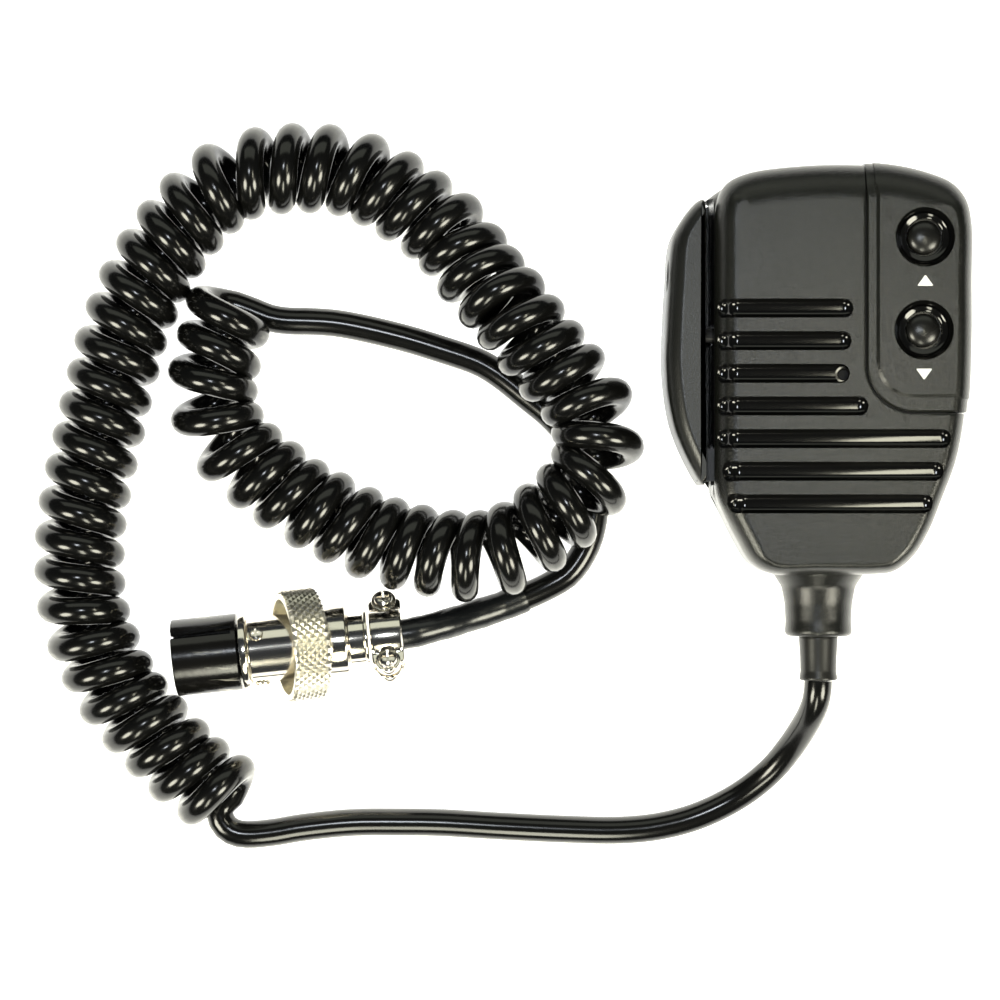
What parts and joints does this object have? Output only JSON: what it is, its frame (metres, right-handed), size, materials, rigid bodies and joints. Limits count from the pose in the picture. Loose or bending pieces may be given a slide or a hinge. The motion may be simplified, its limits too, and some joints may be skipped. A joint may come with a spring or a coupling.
{
  "type": "hand microphone",
  "caption": "Hand-held push-to-talk microphone with side talk bar, two channel buttons, curly cord and round screw-ring plug.",
  "frame": {"origin": "centre of the hang button's flat outer face, on the back of the microphone", "axes": "+Z out of the microphone's face, +Y towards its top edge away from the cord, +X to its right seen from the front"},
  "size_m": [0.1585, 0.1255, 0.0314],
  "materials": {
    "case_plastic": "satin spark-eroded texture",
    "button_plastic": "gloss",
    "switch_plastic": "matte",
    "soft_rubber": "satin",
    "cord_jacket": "glossy",
    "nickel_plate": "bright nickel plate",
    "circuit_board": "solder resist",
    "contact_metal": "silver plate",
    "wire_insulation": "satin",
    "steel": "zinc plate"
  },
  "bodies": {
    "case": {"back_shell": "case_plastic", "board_screw_1": "steel", "board_screw_2": "steel", "capsule_boot": "soft_rubber", "case_screw_1": "steel", "case_screw_2": "steel", "case_screw_3": "steel", "case_screw_4": "steel", "circuit_board": "circuit_board", "clamp_saddle_lower": "nickel_plate", "clamp_saddle_upper": "nickel_plate", "clamp_screw_1": "steel", "clamp_screw_2": "steel", "cord_clamp_plate": "steel", "cord_coil": "cord_jacket", "cord_inner_end": "cord_jacket", "cord_mic_lead": "cord_jacket", "cord_plug_lead": "cord_jacket", "down_switch_body": "switch_plastic", "front_shell": "case_plastic", "gland_neck": "nickel_plate", "hang_button": "nickel_plate", "hang_screw": "steel", "heat_shrink_sleeve": "soft_rubber", "insert_screw_1": "steel", "insert_screw_2": "steel", "insert_screw_3": "steel", "lead_wire_1": "wire_insulation", "lead_wire_2": "wire_insulation", "lead_wire_3": "wire_insulation", "lead_wire_4": "wire_insulation", "lead_wire_5": "wire_insulation", "mic_capsule": "nickel_plate", "plug_contact_1": "contact_metal", "plug_contact_2": "contact_metal", "plug_contact_3": "contact_metal", "plug_contact_4": "contact_metal", "plug_contact_5": "contact_metal", "plug_contact_6": "contact_metal", "plug_front_barrel": "nickel_plate", "plug_insert": "button_plastic", "plug_rear_barrel": "nickel_plate", "ptt_pivot_pin": "steel", "ptt_spring": "steel", "ptt_switch_body": "switch_plastic", "saddle_screw_1": "steel", "saddle_screw_2": "steel", "strain_relief": "soft_rubber", "switch_panel": "case_plastic", "up_switch_body": "switch_plastic"},
    "ptt_bar": {"ptt_bar": "case_plastic"},
    "ptt_switch_plunger": {"ptt_switch_plunger": "contact_metal"},
    "up_button": {"up_button": "button_plastic", "up_switch_plunger": "contact_metal"},
    "down_button": {"down_button": "button_plastic", "down_switch_plunger": "contact_metal"},
    "coupling_ring": {"coupling_ring": "nickel_plate"}
  },
  "joints": [
    {"name": "ptt_press", "type": "hinge", "parent": "case", "child": "ptt_bar", "pos_m": [-0.0155, -0.016, 0.0195], "axis": [0, 0, -1], "range_deg": [0, 1.7], "stiffness_Nm_per_rad": 0.2, "springref_deg": -2.86},
    {"name": "ptt_switch_travel", "type": "slide", "parent": "case", "child": "ptt_switch_plunger", "axis": [1, 0, 0], "range_m": [0, 0.001]},
    {"name": "up_press", "type": "slide", "parent": "case", "child": "up_button", "axis": [0, 0, -1], "range_m": [0, 0.0008], "stiffness_N_per_m": 150},
    {"name": "down_press", "type": "slide", "parent": "case", "child": "down_button", "axis": [0, 0, -1], "range_m": [0, 0.0008], "stiffness_N_per_m": 150},
    {"name": "coupling_ring_spin", "type": "hinge", "parent": "case", "child": "coupling_ring", "pos_m": [-0.08832, -0.04684, 0.0099], "axis": [0.9561, 0.0995, -0.2756], "continuous": true}
  ],
  "couplings": [
    {"joint": "ptt_switch_travel", "follows": "ptt_press", "m_per_rad": 0.0219}
  ]
}
